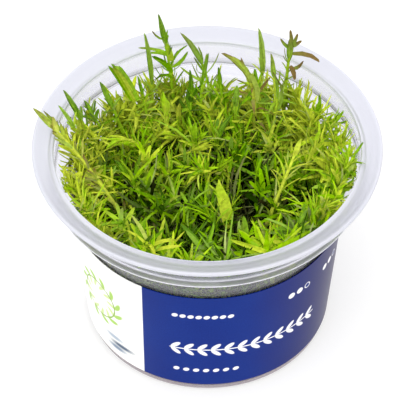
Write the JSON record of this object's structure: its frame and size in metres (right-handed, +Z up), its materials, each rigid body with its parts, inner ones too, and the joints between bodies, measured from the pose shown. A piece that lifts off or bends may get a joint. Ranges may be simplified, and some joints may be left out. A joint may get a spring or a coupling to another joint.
{
  "type": "potted aquarium stem plant",
  "caption": "Clear tissue-culture cup with a wide flat rim and a printed sleeve, filled with a dense tangle of narrow-leaved aquarium stems.",
  "frame": {"origin": "centre of the cup's flat base, on the surface it stands on", "axes": "+Z up along the cup's axis, -Y towards the middle of the label's blue side, +X to the right as seen from there"},
  "size_m": [0.1, 0.1, 0.0875],
  "materials": {
    "cup_plastic": "satin translucent",
    "label_paper": "satin print",
    "gel": "wet clear jelly",
    "leaf": "satin leaf"
  },
  "bodies": {
    "root": {"cup": "cup_plastic", "label": "label_paper", "gel": "gel", "tangle": "leaf", "sprig_tall": "leaf", "sprig_long_bud": "leaf", "sprig_thick_bud": "leaf", "sprig_arched": "leaf", "sprig_drooping": "leaf", "sprig_upright": "leaf", "sprig_brown_top": "leaf", "sprig_behind_right": "leaf", "sprig_far_left": "leaf", "sprig_left_low": "leaf", "sprig_left_pair": "leaf", "sprig_left_high": "leaf", "sprig_left_back": "leaf", "sprig_left_bud": "leaf", "sprig_middle": "leaf", "sprig_middle_right": "leaf", "sprig_right_high": "leaf", "sprig_right_back": "leaf", "sprig_far_right": "leaf", "sprig_yellow": "leaf", "sprig_right": "leaf", "sprig_front": "leaf", "sprig_curled": "leaf", "sprig_front_left": "leaf", "sprig_front_middle": "leaf", "sprig_front_right": "leaf", "sprig_slim_left": "leaf", "sprig_round": "leaf", "sprig_slim_middle": "leaf", "sprig_leaning": "leaf", "sprig_slim_back": "leaf", "sprig_green_bud": "leaf", "sprig_short_back": "leaf", "sprig_curly": "leaf"}
  },
  "joints": []
}
